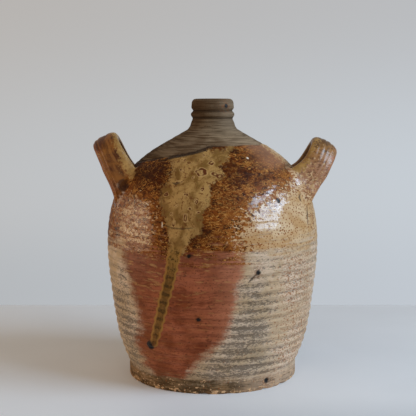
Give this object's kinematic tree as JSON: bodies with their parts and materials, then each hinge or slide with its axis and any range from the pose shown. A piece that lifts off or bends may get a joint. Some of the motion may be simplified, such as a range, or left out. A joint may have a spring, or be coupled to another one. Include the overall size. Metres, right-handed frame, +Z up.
{
  "type": "two-handled stoneware jug",
  "caption": "Wide-bellied wood-fired stoneware jug with a short collared neck, a cork-sized mouth and arched strap handles standing up from the shoulder.",
  "frame": {"origin": "on the jug's axis, at the flat underside of the foot", "axes": "+Z up along the jug's axis and out of the mouth; +X through the right handle; -Y towards the front, with the glaze run"},
  "size_m": [0.2636, 0.2284, 0.3],
  "materials": {
    "raw_stoneware": "matte",
    "flashed_stoneware": "satin",
    "ash_glaze": "gloss",
    "dry_stoneware": "matte",
    "handle_glaze": "gloss"
  },
  "bodies": {
    "root": {"foot": "raw_stoneware", "lower_wall": "flashed_stoneware", "shoulder": "ash_glaze", "neck": "dry_stoneware", "lip": "dry_stoneware", "left_handle": "handle_glaze", "right_handle": "handle_glaze", "left_front_pad": "handle_glaze", "left_rear_pad": "handle_glaze", "right_front_pad": "handle_glaze", "right_rear_pad": "handle_glaze"}
  },
  "joints": []
}
